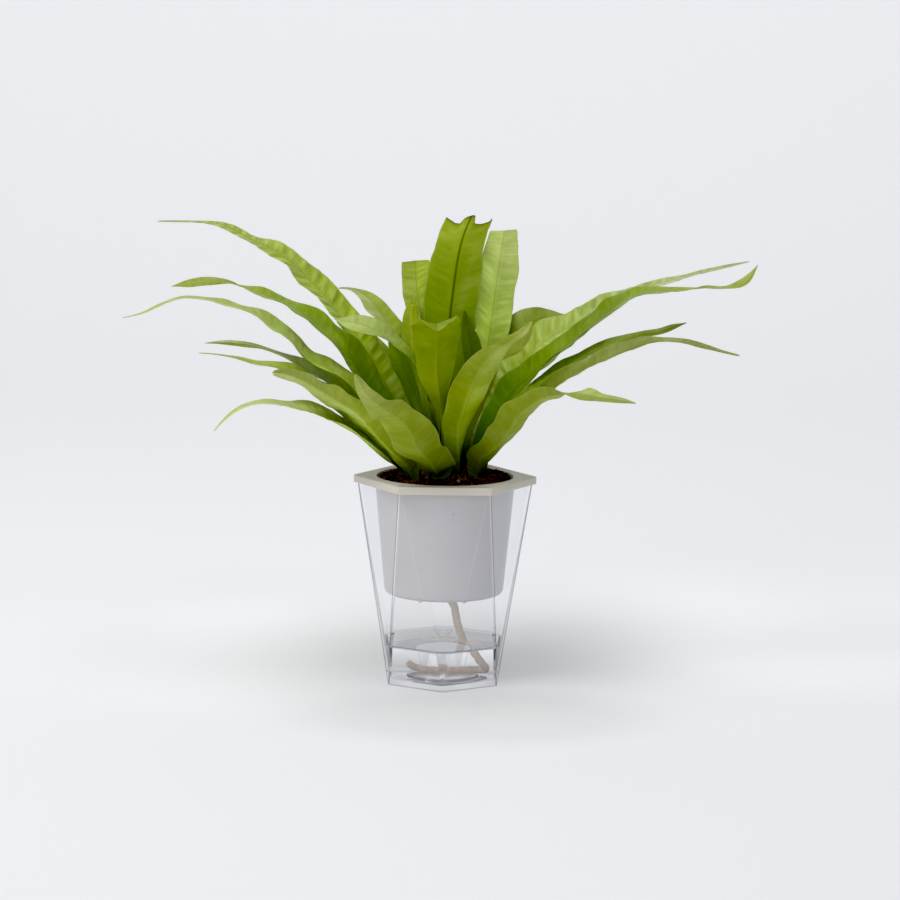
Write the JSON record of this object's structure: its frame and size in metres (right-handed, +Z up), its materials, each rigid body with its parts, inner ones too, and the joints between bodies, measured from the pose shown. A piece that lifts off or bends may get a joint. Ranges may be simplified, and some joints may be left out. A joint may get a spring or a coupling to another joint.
{
  "type": "potted bird's nest fern",
  "caption": "Bird's nest fern with arching strap fronds in a white inner pot that hangs by a hexagonal flange in a clear faceted water cup with a cotton wick.",
  "frame": {"origin": "on the table under the planter's axis, which is within 2 mm of the middle of the plant's spread", "axes": "+Z up, +X to the right and +Y away from the viewer of the front; two of the flange's corners lie on X"},
  "size_m": [0.3686, 0.2371, 0.2687],
  "materials": {
    "clear_plastic": "clear polished polystyrene",
    "white_plastic": "satin moulded polypropylene",
    "cotton_wick": "twisted cotton, damp",
    "water": "still clear water",
    "potting_mix": "moist granular peat and bark",
    "crown": "scaly fibrous rhizome",
    "leaf": "thin waxy leaf with a midrib and fine side veins",
    "leaf_underside": "matt leaf underside with a raised midrib",
    "leaf_shaded": "thin waxy leaf",
    "leaf_young": "soft young leaf"
  },
  "bodies": {
    "root": {"outer_cup": "clear_plastic", "inner_pot": "white_plastic", "wick": "cotton_wick", "reservoir_water": "water", "potting_mix": "potting_mix", "crown": "crown", "frond_back_1": "leaf", "frond_back_2": "leaf", "frond_back_3": "leaf", "frond_back_4": "leaf", "frond_back_5": "leaf", "frond_back_6": "leaf", "frond_back_7": "leaf", "frond_back_8": "leaf", "frond_back_9": "leaf", "frond_back_10": "leaf", "frond_centre_1": "leaf", "frond_centre_2": "leaf", "frond_centre_3": "leaf", "frond_centre_4": "leaf", "frond_front_1": "leaf_underside", "frond_front_2": "leaf_underside", "frond_front_3": "leaf_underside", "frond_front_4": "leaf_underside", "frond_front_5": "leaf_underside", "frond_inner_1": "leaf_shaded", "frond_inner_2": "leaf_shaded", "frond_left_1": "leaf", "frond_left_2": "leaf", "frond_left_3": "leaf", "frond_left_4": "leaf", "frond_left_5": "leaf", "frond_left_6": "leaf", "frond_left_7": "leaf", "frond_left_8": "leaf", "frond_left_9": "leaf", "frond_right_1": "leaf", "frond_right_2": "leaf", "frond_right_3": "leaf", "frond_right_4": "leaf", "frond_right_5": "leaf", "frond_young": "leaf_young"}
  },
  "joints": []
}
